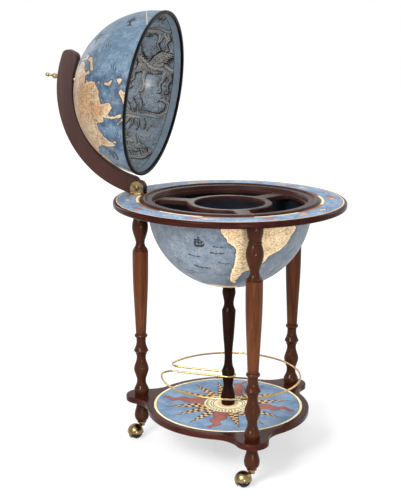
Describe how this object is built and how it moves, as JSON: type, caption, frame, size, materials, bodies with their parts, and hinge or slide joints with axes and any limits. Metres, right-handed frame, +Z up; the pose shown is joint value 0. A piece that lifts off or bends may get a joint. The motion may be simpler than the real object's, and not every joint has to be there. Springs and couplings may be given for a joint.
{
  "type": "floor globe bar",
  "caption": "Free-standing globe bar: a globe on turned legs opens at its equator to a bottle tray, over a shelf with a gallery rail, on casters.",
  "frame": {"origin": "on the floor under the axis of the centre column", "axes": "+Z up; -X towards the lid's hinge, which is above the left leg; -Y towards the front"},
  "size_m": [0.7671, 0.57, 1.0933],
  "materials": {
    "dark_wood": "dark red-brown stained wood, satin lacquer",
    "column_wood": "dark brown stained turned wood, satin lacquer",
    "leg_wood": "red-brown stained turned wood, semi-gloss lacquer",
    "arm_wood": "dark brown stained wood, matt lacquer",
    "dowel_wood": "plain beech",
    "compass_print": "printed compass rose under a satin film",
    "band_print": "printed band under a satin film",
    "globe_map": "old-style world map print, satin varnish",
    "sky_print": "old-style star chart print, satin varnish",
    "rim_dark": "dark brown moulded edge trim",
    "tray_brown": "brown moulded plastic, low gloss",
    "tray_dark": "dark flocked board",
    "brass": "antique brass, polished",
    "steel": "zinc-plated steel",
    "wheel_black": "black moulded plastic"
  },
  "bodies": {
    "stand": {"shelf_board": "dark_wood", "equator_ring": "dark_wood", "centre_column": "column_wood", "leg_left": "leg_wood", "leg_front": "leg_wood", "leg_back": "leg_wood", "foot_left": "leg_wood", "foot_front": "leg_wood", "foot_back": "leg_wood", "compass_disc": "compass_print", "ring_band": "band_print", "bowl_shell": "globe_map", "tray_deck": "tray_brown", "tray_floor": "tray_dark", "gallery_rail": "brass", "tray_screws": "brass", "hinge_cheek_front": "brass", "hinge_cheek_rear": "brass", "hinge_pin": "brass", "hinge_nut": "brass", "hinge_screws": "brass", "ring_dowels": "dowel_wood", "leg_studs": "steel", "column_bolts": "steel", "bowl_screws": "steel", "caster_socket_left": "brass", "caster_socket_front": "brass", "caster_socket_back": "brass"},
    "lid_arm": {"meridian_arm": "arm_wood", "hinge_bush": "brass", "pole_spacer": "brass", "pole_bolt": "brass", "pole_finial": "brass"},
    "lid_globe": {"lid_shell": "globe_map", "lid_liner": "sky_print", "lid_rim_trim": "rim_dark", "pole_hub": "brass"},
    "caster_left": {"caster_hood_left": "brass", "caster_stem_left": "steel", "caster_axle_left": "steel"},
    "wheel_left_a": {"caster_wheel_left_a": "wheel_black"},
    "wheel_left_b": {"caster_wheel_left_b": "wheel_black"},
    "caster_front": {"caster_hood_front": "brass", "caster_stem_front": "steel", "caster_axle_front": "steel"},
    "wheel_front_a": {"caster_wheel_front_a": "wheel_black"},
    "wheel_front_b": {"caster_wheel_front_b": "wheel_black"},
    "caster_back": {"caster_hood_back": "brass", "caster_stem_back": "steel", "caster_axle_back": "steel"},
    "wheel_back_a": {"caster_wheel_back_a": "wheel_black"},
    "wheel_back_b": {"caster_wheel_back_b": "wheel_black"}
  },
  "joints": [
    {"name": "lid_hinge", "type": "hinge", "parent": "stand", "child": "lid_arm", "pos_m": [-0.237, 0, 0.66], "axis": [0, 1, 0], "range_deg": [0, 82]},
    {"name": "lid_spin", "type": "hinge", "parent": "lid_arm", "child": "lid_globe", "pos_m": [-0.18956, 0, 0.89266], "axis": [-0.9903, 0, 0.1392], "continuous": true},
    {"name": "swivel_left", "type": "hinge", "parent": "stand", "child": "caster_left", "pos_m": [-0.234, 0, 0.04], "axis": [0, 0, 1], "continuous": true},
    {"name": "roll_left_a", "type": "hinge", "parent": "caster_left", "child": "wheel_left_a", "pos_m": [-0.24408, -0.02067, 0.017], "axis": [0.8988, -0.4384, 0], "continuous": true},
    {"name": "roll_left_b", "type": "hinge", "parent": "caster_left", "child": "wheel_left_b", "pos_m": [-0.24408, -0.02067, 0.017], "axis": [0.8988, -0.4384, 0], "continuous": true},
    {"name": "swivel_front", "type": "hinge", "parent": "stand", "child": "caster_front", "pos_m": [0.117, -0.20265, 0.04], "axis": [0, 0, 1], "continuous": true},
    {"name": "roll_front_a", "type": "hinge", "parent": "caster_front", "child": "wheel_front_a", "pos_m": [0.10102, -0.2192, 0.017], "axis": [0.7193, -0.6947, 0], "continuous": true},
    {"name": "roll_front_b", "type": "hinge", "parent": "caster_front", "child": "wheel_front_b", "pos_m": [0.10102, -0.2192, 0.017], "axis": [0.7193, -0.6947, 0], "continuous": true},
    {"name": "swivel_back", "type": "hinge", "parent": "stand", "child": "caster_back", "pos_m": [0.117, 0.20265, 0.04], "axis": [0, 0, 1], "continuous": true},
    {"name": "roll_back_a", "type": "hinge", "parent": "caster_back", "child": "wheel_back_a", "pos_m": [0.10414, 0.18358, 0.017], "axis": [0.829, -0.5592, 0], "continuous": true},
    {"name": "roll_back_b", "type": "hinge", "parent": "caster_back", "child": "wheel_back_b", "pos_m": [0.10414, 0.18358, 0.017], "axis": [0.829, -0.5592, 0], "continuous": true}
  ]
}
